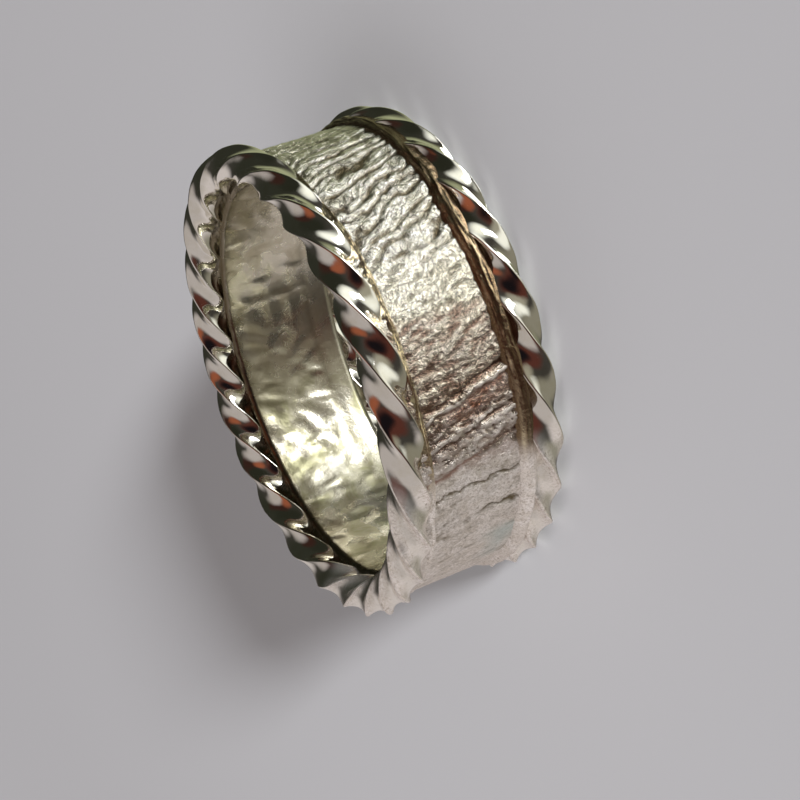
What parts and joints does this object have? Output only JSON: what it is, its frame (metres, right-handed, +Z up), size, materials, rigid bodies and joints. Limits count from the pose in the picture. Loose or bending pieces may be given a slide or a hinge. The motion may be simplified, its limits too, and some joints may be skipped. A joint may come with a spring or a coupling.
{
  "type": "rope twist ring",
  "caption": "Wide silver finger ring, a wrinkled bark-textured band with a twisted square wire soldered along each edge.",
  "frame": {"origin": "centre of the circle on which the lower twisted wire rests, with the ring lying on its side", "axes": "+Z up along the finger hole's axis, from the lower wire to the upper; X and Y lie in the plane of the ring"},
  "size_m": [0.0231, 0.0231, 0.0087],
  "materials": {
    "silver": "polished sterling silver with a matte and slightly tarnished relief"
  },
  "bodies": {
    "root": {"ring": "silver"}
  },
  "joints": []
}
